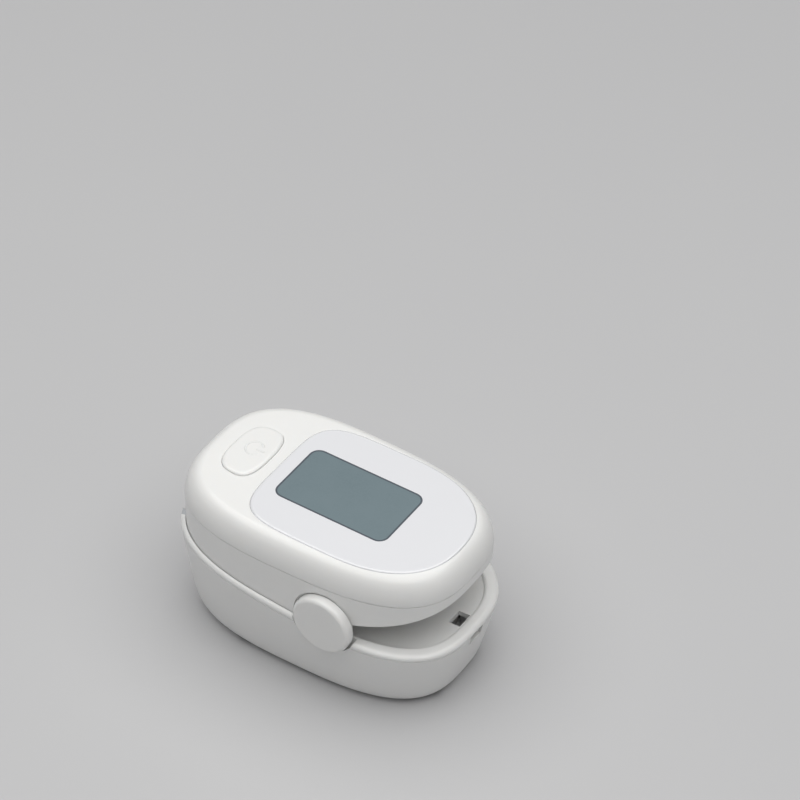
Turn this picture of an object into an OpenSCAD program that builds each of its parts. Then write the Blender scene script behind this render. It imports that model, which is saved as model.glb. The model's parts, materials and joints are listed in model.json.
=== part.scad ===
// Fingertip pulse oximeter: two spring-loaded jaws on a cross axle, a display and a push button in
// the upper jaw, and two AAA cells in the lower jaw.
// Millimetres. Origin: centre of the flat underside. +Z up, +X to the pinch end (the lanyard hole),
// -X to the finger end. The jaws are closed.

/* [Overall] */
// Height of the closed instrument, to the top of the push button
total_h = 33.4; // [33.2:0.1:33.6]
// Squareness of the oval plan (2 is an ellipse)
oval_n = 2.9; // [2.7:0.1:3.1]
// Share by which the oval narrows towards the pinch end
taper = -0.03; // [-0.04:0.01:-0.01]

/* [Upper jaw] */
// Half length of the upper jaw
upper_a = 29; // [28.8:0.1:29.2]
// Half width of the upper jaw
upper_b = 17.9; // [17.8:0.1:18.0]
// Thickness of the upper housing walls
wall = 1.2; // [1.1:0.1:1.3]
// Height of the top cover above its seam
cover_h = 6.05; // [5.9:0.05:6.2]
// Width of the top cover's rounded shoulder
shoulder = 3.3; // [3.1:0.1:3.4]

/* [Lower jaw] */
// Half length of the lower jaw at its rim
lower_a = 30; // [29.9:0.1:30.2]
// Half width of the lower jaw at its rim
lower_b = 18.7; // [18.6:0.1:18.9]
// Height of the rim above the underside, at mid length
rim_z = 18.3; // [18.2:0.1:18.4]
// Fall of the rim towards the pinch end, per millimetre
rim_slope = -0.105; // [-0.11:0.005:-0.1]
// Width of the rolled lip round the pinch tray
lip_w = 2.5; // [2.4:0.1:2.6]

/* [Hinge] */
// Axle position along the length
hinge_x = 8.7; // [8.5:0.1:8.9]
// Axle height
hinge_z = 19.2; // [19.1:0.1:19.3]
// Axle radius
axle_r = 1; // [0.9:0.05:1.1]
// Radius of the round side caps
cap_r = 6.05; // [6.0:0.05:6.1]
// Distance of a cap's outer face from the middle plane
cap_face = 19.25; // [19.2:0.05:19.4]

/* [Finger tunnel] */
// Radius of both finger pads' curved faces
finger_r = 9.5; // [9.3:0.1:9.6]
// Thickness of the finger pads
pad_t = 1.5; // [1.4:0.1:1.5]
// Where the fingertip stops
finger_stop_x = 2; // [1.8:0.1:2.2]

/* [Display and button] */
// Middle of the display along the length
display_x = 2.2; // [2:0.1:2.4]
// Length of the visible display
display_l = 23.5; // [23:0.1:24]
// Width of the visible display
display_w = 13.6; // [13:0.1:14]
// Middle of the lens along the length
lens_x = 6.8; // [6.7:0.1:6.9]
// Half length of the lens
lens_a = 19.6; // [19.4:0.1:19.7]
// Half width of the lens
lens_b = 14.6; // [14.4:0.1:14.7]
// Middle of the push button along the length
button_x = -19.1; // [-19.3:0.1:-19]
// Half length of the push button
button_a = 4; // [3.9:0.1:4.1]
// Half width of the push button
button_b = 6.7; // [6.6:0.1:6.8]
// Height that the push button stands proud
button_proud = 0.45; // [0.4:0.05:0.5]

/* [Cells] */
// Radius of an AAA cell
cell_r = 5.25; // [5.15:0.05:5.25]
// Length of an AAA cell with its nub
cell_l = 44.2; // [44:0.1:44.5]
// Middle of the battery bay along the length
cell_x = -1.3; // [-1.4:0.1:-1.2]

/* [Hidden] */
$fn = 48;
eps = 0.01;
ring_points = 80;

seam_z = total_h - cover_h;                 // joint of the top cover and the upper frame
mark_h = 0.1;                               // height of the raised power mark on the button
plateau_z = total_h - mark_h - button_proud;    // flat top of the cover round the lens
lens_top_z = plateau_z + 0.15;
lens_seat_z = lens_top_z - 0.9;             // seat of the mask and the lens
board_top_z = lens_top_z - 4.2;             // upper face of the main board
board_t = 1;
seam_gap = 0.12;                            // open joint under the top cover
nest_gap = 0.15;                            // play round the upper wall inside the lower rim
nest_d = 0.8;                               // how deep the upper wall nests in the lower rim
skirt_gap = 0.3;                            // play under the nested upper wall
cap_clear = 0.45;                           // round gap between a cap and the housings
hub_r = 2.4;                                // cap hub through the upper wall
lip_h = 1.25;                               // height of the rolled lip
ear_in = 14.4;                              // inner face of the lower ears
ear_t = 1.6;
side_ear_r = 5.2;                           // round end of the upper wall behind a cap
boss_in = 12.5;                             // inner face of the upper jaw's bosses on the axle
boss_t = 1.6;
arch_z = 12.5;                              // axis of the upper pad's curved face
bed_z = 23.9;                               // axis of the lower pad's curved face
tray_floor_z = 13.5;                        // floor of the pinch tray, at mid length
tray_slope = 0.05;                          // its rise towards the pinch end
tunnel_end_x = finger_stop_x + 1.2;         // far side of the fingertip stop
upper_edge = -0.4;                          // upper deck's underside, measured from the rim
pinch_roof_z = 23.9;                        // underside of the upper jaw over the tray
cell_z = 6.9;                               // axis of the cells
cell_y = 5.4;
bay_x0 = cell_x - cell_l/2 - 1.2;           // battery bay, with room for a spring and a contact
bay_x1 = cell_x + cell_l/2 + 1.2;
bay_w = 10.9;                               // half width of the battery bay
door_w = 11.5;                              // half width of the battery door
door_t = 1.5;
door_x1 = bay_x1 + 0.3;                     // pinch end of the battery door
rail_x1 = 18.5;                             // pinch end of the door's two rails
grip_at = [-19, -17.4, -15.8, -14.2];        // grooves of the battery door's thumb grip
grip_w = 4.5;
lanyard_w = 3.4;
sensor_x = -9;                              // light path through the fingertip
upper_screw_at = [[-13, 12.2], [-13, -12.2], [15.5, 12.2], [15.5, -12.2]];
lower_screw_at = [[-12, 13.5], [-12, -13.5], [24.4, 5.6], [24.4, -5.6]];

function rim(x) = rim_z + rim_slope*x;
function mouth(x) = 18.47 + 0.14*x + 0.007*pow(x - hinge_x, 2);   // upper wall's edge over the tray

// Oval outline: a superellipse with half axes a and b that narrows by k along its length.
// Its squareness is n, and back_n on the side of -X.
function oval(a, b, k = taper, xc = 0, n = oval_n, m = ring_points, back_n = 0) =
    [for (i = [0:m - 1])
        let (t = 360*i/m,
             e = cos(t) < 0 && back_n > 0 ? back_n : n,
             r = pow(pow(abs(cos(t))/a, e) + pow(abs(sin(t))/b, e), -1/e),
             x = r*cos(t))
        [xc + x, r*sin(t)*(1 + k*x/a)]];
function lens_outline(grow) = oval(lens_a + grow, lens_b + grow, 0, lens_x, 2.4, ring_points, 5);
function upper_oval(inset) = oval(upper_a - inset, upper_b - inset);
function lower_oval(inset, xc = 0) = oval(lower_a - inset, lower_b - inset, -0.02, xc);
function level(outline, z, slope = 0) = [for (p = outline) [p[0], p[1], z + slope*p[0]]];

// Rectangle with round corners, as points
function round_rect(x0, x1, half_w, r, steps = 6) =
    [for (c = [[x1 - r, half_w - r, 0], [x0 + r, half_w - r, 90],
               [x0 + r, r - half_w, 180], [x1 - r, r - half_w, 270]])
        for (i = [0:steps])
            [c[0] + r*cos(c[2] + 90*i/steps), c[1] + r*sin(c[2] + 90*i/steps)]];

// Closed skin through a stack of rings that all have the same number of points
module skin(rings) {
    m = len(rings[0]);
    last = (len(rings) - 1)*m;
    polyhedron(
        points = [for (r = rings) each r],
        faces = concat(
            [[for (i = [0:m - 1]) i]],
            [for (j = [0:len(rings) - 2]) for (i = [0:m - 1])
                [j*m + i, (j + 1)*m + i, (j + 1)*m + (i + 1)%m, j*m + (i + 1)%m]],
            [[for (i = [0:m - 1]) last + m - 1 - i]]),
        convexity = 6);
}

module prism(outline, z0, z1) {
    translate([0, 0, z0]) linear_extrude(z1 - z0) polygon(outline);
}

// Side profile, [x, z] points, extruded across the whole width
module side_cut(profile, half_w = 25) {
    rotate([90, 0, 0]) translate([0, 0, -half_w]) linear_extrude(2*half_w) polygon(profile);
}

module along_x(r, x0, x1, y, z) {
    translate([x0, y, z]) rotate([0, 90, 0]) cylinder(r = r, h = x1 - x0);
}

module along_y(r, y0, y1, x = hinge_x, z = hinge_z) {
    translate([x, y0, z]) rotate([-90, 0, 0]) cylinder(r = r, h = y1 - y0);
}

module box(x0, x1, y0, y1, z0, z1) {
    translate([x0, y0, z0]) cube([x1 - x0, y1 - y0, z1 - z0]);
}

module both_sides() {
    children();
    mirror([0, 1, 0]) children();
}

// Round wire along a path of points that never runs along up
module wire(path, r, up = [0, 1, 0], sides = 6) {
    n = len(path);
    function unit(v) = v/norm(v);
    function way(i) = unit(path[min(i + 1, n - 1)] - path[max(i - 1, 0)]);
    function side(i) = unit(cross(way(i), up));
    skin([for (i = [0:n - 1])
        let (s = side(i), t = cross(way(i), s))
        [for (j = [0:sides - 1])
            path[i] + r*cos(360*j/sides)*s + r*sin(360*j/sides)*t]]);
}

// ---------- upper jaw ----------

cover_t = 1.3;
cover_ceiling_z = plateau_z - 2.1;

module top_cover() {
    steps = 6;
    ceiling = cover_ceiling_z;
    color("white") difference() {
        union() {
            skin(concat(
                [level(upper_oval(5), ceiling),
                 level(upper_oval(3), ceiling - 0.4),
                 level(upper_oval(1.7), ceiling - 1.6),
                 level(upper_oval(cover_t), seam_z)],
                [for (i = [0:steps])
                    let (t = 90*i/steps)
                    level(upper_oval(shoulder*(1 - cos(t))),
                          seam_z + (plateau_z - seam_z)*sin(t))]));
            for (p = upper_screw_at)
                translate([p[0], p[1], board_top_z + 0.1])
                    cylinder(r = 1.7, h = ceiling - board_top_z);
        }
        prism(lens_outline(0.08), lens_seat_z, total_h + 1);
        prism(round_rect(display_x - 13.9, display_x + 13.9, 10.1, 0.6), ceiling - 1, total_h);
        prism(button_outline(0.15), ceiling - 1, total_h + 1);
        for (p = upper_screw_at)
            translate([p[0], p[1], board_top_z]) cylinder(r = 0.8, h = 2.6);
    }
}

module display_lens() {
    color("aliceblue", 0.5)
        prism(lens_outline(0), lens_seat_z + 0.12, lens_top_z);
}

module lens_mask() {
    color("whitesmoke") difference() {
        prism(lens_outline(-0.1), lens_seat_z + 0.01, lens_seat_z + 0.11);
        prism(round_rect(display_x - display_l/2, display_x + display_l/2, display_w/2, 1.7),
              lens_seat_z - 1, lens_seat_z + 1);
    }
}

panel_top_z = lens_seat_z - 0.02;

module display_panel() {
    color("slategray")
        box(display_x - 13.5, display_x + 13.5, -9.75, 9.75, panel_top_z - 1.4, panel_top_z);
}

module display_gasket() {
    color("black") difference() {
        box(display_x - 13.4, display_x + 13.4, -9.6, 9.6, board_top_z + 0.05, panel_top_z - 1.45);
        box(display_x - 10.5, display_x + 10.5, -7, 7, board_top_z - 1, panel_top_z);
    }
}

module main_board() {
    color("darkgreen") difference() {
        prism(oval(25.6, 14.4), board_top_z - board_t, board_top_z);
        for (p = upper_screw_at)
            translate([p[0], p[1], board_top_z - 2]) cylinder(r = 1, h = 4);
    }
}

module board_chips() {
    z1 = board_top_z - board_t - 0.02;
    color("dimgray") {
        box(-3, 3.6, -3.5, 3.5, z1 - 1.2, z1);
        box(-11, -6.5, -2, 2, z1 - 1, z1);
        box(10.5, 13.5, -8, -5, z1 - 1.1, z1);
        box(14.5, 18.5, 1.5, 5.5, z1 - 1.8, z1);
        for (i = [0:3]) box(18 + 1.4*i, 18.8 + 1.4*i, -6, -4.4, z1 - 0.6, z1);
    }
}

module board_connector() {
    z1 = board_top_z - board_t - 0.02;
    color("ivory") difference() {
        box(7.2, 9.8, -2.3, 2.3, z1 - 1.5, z1);
        box(7, 9, -1.7, 1.7, z1 - 1.1, z1 - 0.5);
    }
}

switch_h = 1.3;
plunger_top_z = board_top_z + switch_h + 0.5;

module tact_switch() {
    color("silver") difference() {
        box(button_x - 2.2, button_x + 2.2, -2.2, 2.2, board_top_z + 0.02, board_top_z + switch_h);
        translate([button_x, 0, board_top_z + 0.4]) cylinder(r = 1.15, h = 2);
    }
}

module switch_plunger() {
    color("black") translate([button_x, 0, board_top_z + 1])
        cylinder(r = 1.05, h = plunger_top_z - board_top_z - 1);
}

function button_outline(grow) = oval(button_a + grow, button_b + grow, 0.05, button_x, 2.8, 40);

// Open ring with a bar in its gap
module power_mark(z) {
    translate([button_x + 0.2, 0.5, z]) {
        difference() {
            cylinder(r = 1.9, h = mark_h + 0.05);
            translate([0, 0, -1]) cylinder(r = 1.5, h = 3);
            translate([0, -0.75, -1]) cube([3, 1.5, 3]);
        }
        translate([0.3, -0.2, 0]) cube([1.9, 0.4, mark_h + 0.05]);
    }
}

module power_button() {
    top = plateau_z + button_proud;
    skirt_z = cover_ceiling_z - 0.5;
    color("white") difference() {
        union() {
            skin([level(button_outline(0), skirt_z), level(button_outline(0), top - 0.42),
                  level(button_outline(-0.14), top - 0.15), level(button_outline(-0.45), top)]);
            power_mark(top - 0.05);
            prism(button_outline(0.6), skirt_z - 0.1, cover_ceiling_z - 0.25);
        }
        difference() {
            prism(button_outline(-1.1), skirt_z - 1, top - 1.2);
            translate([button_x, 0, 0]) cylinder(r = 1.6, h = total_h);
        }
        translate([button_x, 0, 0]) cylinder(r = 2, h = plunger_top_z + 0.02);
    }
}

// Bottom edge of the upper wall from the finger end to the pinch end
function wall_edge() = concat(
    [[-32, rim(-32) - nest_d + skirt_gap], [3.2, rim(3.2) - nest_d + skirt_gap]],
    [[4.6, 17.6], [6.2, 18.9], [8.2, 19.6]],
    [for (x = [10.5:2:30.5]) [x, mouth(x)]]);

module upper_wall() {
    intersection() {
        difference() {
            prism(upper_oval(0.05), 14, seam_z - seam_gap);
            prism(upper_oval(wall), 13, seam_z + 1);
        }
        side_cut(concat(wall_edge(), [[32, 40], [-32, 40]]));
    }
}

module upper_deck() {
    edge = upper_edge;
    intersection() {
        prism(upper_oval(wall - 0.2), 14, seam_z - 1);
        union() {
            side_cut([[-32, rim(-32) + edge], [tunnel_end_x, rim(tunnel_end_x) + edge],
                      [tunnel_end_x, rim(tunnel_end_x) + edge + 1.1], [-32, rim(-32) + edge + 1.1]]);
            side_cut([[finger_stop_x, rim(3) + edge + 0.6], [tunnel_end_x, rim(3) + edge + 0.6],
                      [tunnel_end_x, pinch_roof_z], [18, pinch_roof_z], [25, 25.4], [32, 25.6],
                      [32, 26.3], [24, 26.3], [17.6, pinch_roof_z + 1], [finger_stop_x, pinch_roof_z + 1]]);
            along_x(finger_r + pad_t + 1.1, -32, tunnel_end_x, 0, arch_z);
        }
    }
}

function upper_head_z(x) = x < 0 ? rim(x) + upper_edge + 0.3 : pinch_roof_z;

module upper_frame() {
    color("white") difference() {
        union() {
            upper_wall();
            // round ends of the wall behind the caps
            both_sides() along_y(side_ear_r, ear_in + ear_t + 0.2, 17.4);
            difference() {
                upper_deck();
                along_x(finger_r + pad_t + 0.1, -40, finger_stop_x, 0, arch_z);
                side_cut([[-40, 0], [40, 0], [40, rim(40) + upper_edge],
                          [-40, rim(-40) + upper_edge]]);
            }
            // tongue inside the top cover
            difference() {
                union() {
                    prism(upper_oval(wall - 0.1), seam_z - 1.6, seam_z - seam_gap);
                    prism(upper_oval(cover_t + 0.3), seam_z - 0.3, seam_z + 0.8);
                }
                prism(upper_oval(cover_t + 1), seam_z - 2, seam_z + 2);
            }
            // screw bosses
            for (p = upper_screw_at)
                translate([p[0], p[1], upper_head_z(p[0])])
                    cylinder(r = 2.1, h = board_top_z - board_t - 0.05 - upper_head_z(p[0]));
            // bosses on the axle
            both_sides() {
                along_y(2.9, boss_in, boss_in + boss_t);
                box(hinge_x - 2.9, hinge_x + 2.9, boss_in, boss_in + boss_t,
                    hinge_z, pinch_roof_z + 0.5);
            }
        }
        // finger mouth
        along_x(finger_r + pad_t + 0.1, -40, -26, 0, arch_z);
        along_y(axle_r + 0.05, -15, 15);
        both_sides() {
            along_y(cap_r + cap_clear, 17.2, 25);
            along_y(hub_r + 0.3, 15, 25);
        }
        for (p = upper_screw_at) translate([p[0], p[1], upper_head_z(p[0]) - 1.3]) {
            cylinder(r = 1, h = 14);
            cylinder(r = 1.6, h = 2.6);
        }
        // light path to the finger, and the cable's way through near the axle
        translate([sensor_x, 0, 20]) cylinder(r = 3.2, h = 8);
        box(4.4, 8.4, -1.9, 1.9, pinch_roof_z - 1, pinch_roof_z + 2);
    }
}

module finger_pad_arch(z, x0) {
    difference() {
        along_x(finger_r + pad_t, x0, finger_stop_x - 0.05, 0, z);
        along_x(finger_r, x0 - 1, finger_stop_x - 1.4, 0, z);
    }
}

module upper_finger_pad() {
    edge = upper_edge;
    color("gainsboro") difference() {
        intersection() {
            finger_pad_arch(arch_z, -28.4);
            prism(upper_oval(0.5), 10, 30);
            side_cut([[-40, rim(-40) + edge + 0.1], [40, rim(40) + edge + 0.1], [40, 40], [-40, 40]]);
        }
        translate([sensor_x, 0, 15]) cylinder(r = 2.6, h = 12);
    }
}

emitter_z = arch_z + finger_r + pad_t + 1.2;

module emitter_board() {
    color("darkgreen") translate([0, 0, emitter_z])
        box(sensor_x - 5, sensor_x + 5, -4, 4, 0, 0.8);
}

module emitter_leds() {
    color("mistyrose") for (dx = [-1.1, 1.1])
        translate([sensor_x + dx, 0, emitter_z - 1.42]) cylinder(r = 0.85, h = 1.4);
}

module emitter_window() {
    color("lightcyan", 0.5) translate([sensor_x, 0, arch_z + finger_r - 0.55])
        cylinder(r = 2.5, h = 1.5);
}

// Pan-head screw with a cross recess, head down
module screw(z, length, head_r = 1.45, shank_r = 0.75) {
    translate([0, 0, z]) difference() {
        union() {
            cylinder(r = head_r, h = 1);
            cylinder(r = shank_r, h = length);
        }
        for (a = [0, 90]) rotate(a) translate([-0.85, -0.18, -eps]) cube([1.7, 0.36, 0.5]);
    }
}

module upper_screws() {
    color("silver") for (p = upper_screw_at) {
        z = upper_head_z(p[0]) + 0.28;
        translate([p[0], p[1], 0]) screw(z, board_top_z + 2 - z);
    }
}

// ---------- lower jaw ----------

// Ring of the dished tray: share 0 is its floor, share 1 the foot of the lip's rounded edge
function dish(inset, share) =
    level(lower_oval(inset), tray_floor_z + share*(rim_z - 0.45 - tray_floor_z),
          tray_slope + share*(rim_slope - tray_slope));

module tray_hollow() {
    skin([dish(9, 0), dish(6.4, 0.06), dish(4.6, 0.17), dish(3.4, 0.45), dish(lip_w + 0.15, 0.85),
          dish(lip_w, 1), level(lower_oval(lip_w), rim_z + 8, rim_slope)]);
}

// Room inside the bottom cover, up past the rim
module frame_core() {
    skin(concat(hull_rings(1.25, 1.6), [level(lower_oval(1.75), 30)]));
}

module bed_deck() {
    // finger end: sloping deck with the finger groove under it
    x1 = tunnel_end_x;
    intersection() {
        frame_core();
        union() {
            side_cut([[-32, rim(-32) - nest_d - 1.1], [x1, rim(x1) - nest_d - 1.1],
                      [x1, rim(x1) - nest_d], [-32, rim(-32) - nest_d]]);
            intersection() {
                along_x(finger_r + pad_t + 1, -32, x1, 0, bed_z);
                side_cut([[-32, 8], [x1, 8], [x1, rim(x1) - nest_d], [-32, rim(-32) - nest_d]]);
            }
        }
    }
}

module pinch_tray() {
    difference() {
        intersection() {
            frame_core();
            side_cut([[finger_stop_x, tray_floor_z - 0.9], [32, tray_floor_z + 0.6], [32, rim(32) - 0.5],
                      [5, rim(5) - 0.5], [tunnel_end_x, rim(tunnel_end_x) - nest_d],
                      [finger_stop_x, rim(finger_stop_x) - nest_d]]);
        }
        difference() {
            tray_hollow();
            box(finger_stop_x - 1, tunnel_end_x, -30, 30, 0, rim(tunnel_end_x) - nest_d);
        }
    }
}

module lip_ring() {
    // rolled rim: full width round the tray, a thin nesting rim at the finger end
    difference() {
        skin([level(lower_oval(0.35), rim_z - lip_h, rim_slope),
              level(lower_oval(0.05), rim_z - lip_h + 0.3, rim_slope),
              level(lower_oval(0), rim_z - 0.65, rim_slope),
              level(lower_oval(0.25), rim_z - 0.2, rim_slope),
              level(lower_oval(0.8), rim_z, rim_slope)]);
        skin([level(lower_oval(lip_w), rim_z - 5, rim_slope),
              level(lower_oval(lip_w), rim_z - 0.45, rim_slope),
              level(lower_oval(lip_w - 0.25), rim_z - 0.15, rim_slope),
              level(lower_oval(lip_w - 0.7), rim_z, rim_slope),
              level(lower_oval(lip_w - 0.7), rim_z + 5, rim_slope)]);
    }
}

// Room in the lower walls for a side cap and the round end of the upper wall behind it
module cap_room() {
    along_y(cap_r + cap_clear, ear_in + ear_t + 0.05, 25);
}

module lower_frame() {
    color("white") difference() {
        union() {
            difference() {
                lip_ring();
                // step that the upper wall nests in
                intersection() {
                    prism(upper_oval(0.05 - nest_gap), 5, 30);
                    side_cut([[-40, rim(-40) - nest_d], [tunnel_end_x, rim(tunnel_end_x) - nest_d],
                              [tunnel_end_x, 40], [-40, 40]]);
                }
            }
            difference() {
                bed_deck();
                along_x(finger_r + pad_t + 0.1, -40, finger_stop_x, 0, bed_z);
            }
            pinch_tray();
            // ears for the axle
            both_sides() {
                along_y(3.4, ear_in, ear_in + ear_t);
                box(hinge_x - 3.4, hinge_x + 3.4, ear_in, ear_in + ear_t, tray_floor_z - 0.3, hinge_z);
            }
            for (p = lower_screw_at) translate([p[0], p[1], 8.2])
                cylinder(r = 1.45, h = (p[0] < 0 ? rim(p[0]) - nest_d - 0.5 : tray_floor_z + 0.6) - 8.2);
        }
        along_y(axle_r + 0.03, -17, 17);
        both_sides() cap_room();
        for (p = lower_screw_at) translate([p[0], p[1], 6]) cylinder(r = 0.8, h = 6.6);
        // finger mouth, sensor pocket, lanyard hole and cable slot
        along_x(finger_r + pad_t + 0.1, -40, -15, 0, bed_z);
        box(sensor_x - 5.1, sensor_x + 5.1, -3.3, 3.3, 8, 14);
        box(24.9, 27.3, -lanyard_w/2, lanyard_w/2, 8, 30);
        box(4.2, 6.4, -1.9, 1.9, 8, 15);
    }
}

module lower_finger_pad() {
    color("gainsboro") difference() {
        intersection() {
            finger_pad_arch(bed_z, -lower_a);
            prism(lower_oval(0), 8, 30);
            side_cut([[-40, 5], [40, 5], [40, rim(40) - nest_d - 0.05], [-40, rim(-40) - nest_d - 0.05]]);
        }
        translate([sensor_x, 0, 10]) cylinder(r = 2.6, h = 12);
    }
}

module sensor_board() {
    color("darkgreen") box(sensor_x - 5, sensor_x + 5, -3.2, 3.2, 11.95, 12.7);
}

module photodiode() {
    color("black") box(sensor_x - 1.6, sensor_x + 1.6, -1.3, 1.3, 12.72, 13.5);
}

module sensor_window() {
    color("lightcyan", 0.5) translate([sensor_x, 0, 13.52]) cylinder(r = 2.5, h = 1);
}

// Ribbon from the sensor board, up past the axle to the connector on the main board, as [x, z]
cable_path = [[-6, 11.83], [-4, 11.78], [2, 11.6], [4.4, 11.9], [5.3, 12.9], [5.5, 15], [5.4, 18],
    [5.5, 21], [5.8, 23.5], [6.2, 25.6], [6.9, 26.85], [8.4, 27]];
cable_w = 2.8;
cable_t = 0.16;

module link_cable() {
    color("darkorange") for (i = [0:len(cable_path) - 2]) {
        p = cable_path[i];
        q = cable_path[i + 1];
        way = (q - p)/norm(q - p);
        side = [way[1], -way[0]]*cable_t/2;
        lap = way*cable_t/3;
        side_cut([p - lap + side, q + lap + side, q + lap - side, p - lap - side], cable_w/2);
    }
}

// Outer surface of the bottom cover, as rings from the underside up to the frame
function hull_rings(inset, floor_z) = [
    level(lower_oval(6.2 + inset, -0.2), floor_z),
    level(lower_oval(4.9 + inset, -0.2), floor_z + 0.3),
    level(lower_oval(3.5 + inset, -0.2), floor_z + 1.15),
    level(lower_oval(2.6 + inset, -0.2), floor_z + 2.5),
    level(lower_oval(1.95 + inset, -0.2), 5 + inset/2),
    level(lower_oval(1.1 + inset, -0.1), 10, rim_slope/3),
    level(lower_oval(0.1 + inset), rim_z - lip_h - 0.3, rim_slope),
    level(lower_oval(0.35 + inset), rim_z - lip_h - 0.05, rim_slope)];

// Plan of the battery bay with its corners cut off, by cut_x and cut_y at the finger end
function bay_plan(grow, cut_x, cut_y) = [
    [bay_x0 - grow, -bay_w + cut_y], [bay_x0 + cut_x, -bay_w - grow],
    [bay_x1 - 1.2, -bay_w - grow], [bay_x1 + grow, -bay_w + 1.6],
    [bay_x1 + grow, bay_w - 1.6], [bay_x1 - 1.2, bay_w + grow],
    [bay_x0 + cut_x, bay_w + grow], [bay_x0 - grow, bay_w - cut_y]];

// Plan of the battery door, open at the finger end
function door_plan(gap) = [
    [-40, -door_w - gap], [door_x1 - 1.3, -door_w - gap], [door_x1 + gap, -door_w + 1.8],
    [door_x1 + gap, door_w - 1.8], [door_x1 - 1.3, door_w + gap], [-40, door_w + gap]];

module bottom_cover() {
    outer = hull_rings(0, 0);
    inner = hull_rings(1.15, 1.5);
    color("white") difference() {
        union() {
            skin(concat(outer, [for (i = [len(inner) - 1:-1:0]) inner[i]]));
            intersection() {
                prism(bay_plan(0.85, 3.4, 4.1), 1.3, 11.2);
                skin(hull_rings(0.4, 0.4));
            }
            for (p = lower_screw_at) translate([p[0], p[1], 2.7]) cylinder(r = 2.1, h = 5.4);
        }
        box(bay_x0, bay_x1, -bay_w, bay_w, 4, 20);
        prism(bay_plan(0, 2.3, 2.4), -1, 4.1);
        // battery door and its grooves
        prism(door_plan(0.13), -1, door_t + 0.1);
        both_sides() box(-40, rail_x1 + 0.2, bay_w - 0.2, door_w + 0.75, door_t - 0.22, door_t + 0.95);
        both_sides() cap_room();
        for (p = lower_screw_at) translate([p[0], p[1], -1]) {
            cylinder(r = 1, h = 12);
            cylinder(r = 1.6, h = 4.65);
        }
        // finger mouth and lanyard slot
        along_x(finger_r + pad_t + 1.05, -40, -20, 0, bed_z);
        box(25, 40, -lanyard_w/2 - 0.3, lanyard_w/2 + 0.3, 11.6, 30);
    }
}

module battery_cover() {
    color("white") difference() {
        intersection() {
            skin(hull_rings(0, 0));
            union() {
                prism(door_plan(0), 0, door_t);
                both_sides() box(-21, rail_x1, bay_w, door_w + 0.6, door_t - 0.1, door_t + 0.8);
            }
        }
        // thumb grip
        for (x = grip_at) box(x, x + 0.7, -grip_w, grip_w, -1, 0.4);
    }
}

// AAA cell with its nub on the side of way
module cell(y, way) {
    color("goldenrod") translate([cell_x + way*0.85, y, cell_z]) rotate([0, 90*way, 0]) {
        translate([0, 0, -cell_l/2]) cylinder(r = cell_r, h = cell_l - 0.9);
        cylinder(r = 1.9, h = cell_l/2);
    }
}

module cell_left() { cell(cell_y, 1); }
module cell_right() { cell(-cell_y, -1); }

// Conical spring against a flat cell end
function cone_path(x, y, way, length, turns = 2, steps = 24) =
    [for (i = [0:turns*steps])
        let (s = i/(turns*steps), r = 3 - 1.2*s)
        [x + way*(0.27 + (length - 0.54)*s), y + r*cos(360*i/steps), cell_z + r*sin(360*i/steps)]];

module cell_springs() {
    color("silver") {
        wire(cone_path(bay_x0 + 0.32, cell_y, 1, 1.7), 0.25, [1, 0, 0]);
        wire(cone_path(bay_x1 - 0.32, -cell_y, -1, 1.7), 0.25, [1, 0, 0]);
    }
}

module cell_contacts() {
    color("silver") {
        box(bay_x0 + 0.02, bay_x0 + 0.32, 1.2, 8.4, 3, 10.9);
        box(bay_x0 + 0.02, bay_x0 + 0.32, -8.4, -1.2, 3, 10.9);
    }
}

module cell_bridge() {
    color("silver") difference() {
        box(bay_x1 - 0.32, bay_x1 - 0.02, -9.1, 9.1, 3, 10.9);
        box(bay_x1 - 1, bay_x1 + 1, -0.8, 0.8, 2, 7);
    }
}

// ---------- hinge ----------

module hinge_axle() {
    color("silver") along_y(axle_r, -17.1, 17.1);
}

module hinge_cap() {
    // disc with a round rim, and a hub with a socket for the axle
    disc_back = 17.35;
    round_r = 0.8;
    color("white") translate([hinge_x, 0, hinge_z]) rotate([-90, 0, 0]) difference() {
        union() {
            translate([0, 0, disc_back]) cylinder(r = cap_r, h = cap_face - disc_back - round_r);
            translate([0, 0, cap_face - round_r - eps]) cylinder(r = cap_r - round_r, h = round_r + eps);
            translate([0, 0, cap_face - round_r]) rotate_extrude()
                translate([cap_r - round_r, 0]) circle(r = round_r);
            translate([0, 0, ear_in + ear_t + 0.1]) cylinder(r = hub_r, h = 1.5);
        }
        translate([0, 0, 10]) cylinder(r = axle_r + 0.02, h = 7.15);
    }
}

module hinge_cap_left() { hinge_cap(); }
module hinge_cap_right() { mirror([0, 1, 0]) hinge_cap(); }

// Torsion spring on the axle: one leg up against the upper jaw, one down on the tray
module torsion_spring() {
    r = 1.95;
    turns = 4;
    steps = 16;
    y0 = 11.6;
    pitch = 0.68;
    up_a = 60;
    down_a = -75;
    span = 360*turns + down_a - up_a + 360;
    n = round(span/360*steps);
    coil = [for (i = [0:n])
        let (a = up_a + span*i/n)
        [hinge_x + r*cos(a), y0 - pitch*span/360*i/n, hinge_z + r*sin(a)]];
    color("silver") wire(concat(
        [[hinge_x + 7.2, y0, pinch_roof_z - 0.34], [hinge_x + 3.2, y0, hinge_z + 3.2]],
        coil,
        [[hinge_x + 3.2, y0 - pitch*span/360, hinge_z - 3.4],
         [hinge_x + 6.6, y0 - pitch*span/360,
          tray_floor_z + tray_slope*(hinge_x + 6.6) + 0.45]]), 0.3);
}

module torsion_spring_left() { torsion_spring(); }
module torsion_spring_right() { mirror([0, 1, 0]) torsion_spring(); }

module lower_screws() {
    color("silver") for (p = lower_screw_at) translate([p[0], p[1], 0]) screw(2.6, 9.8);
}

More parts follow.
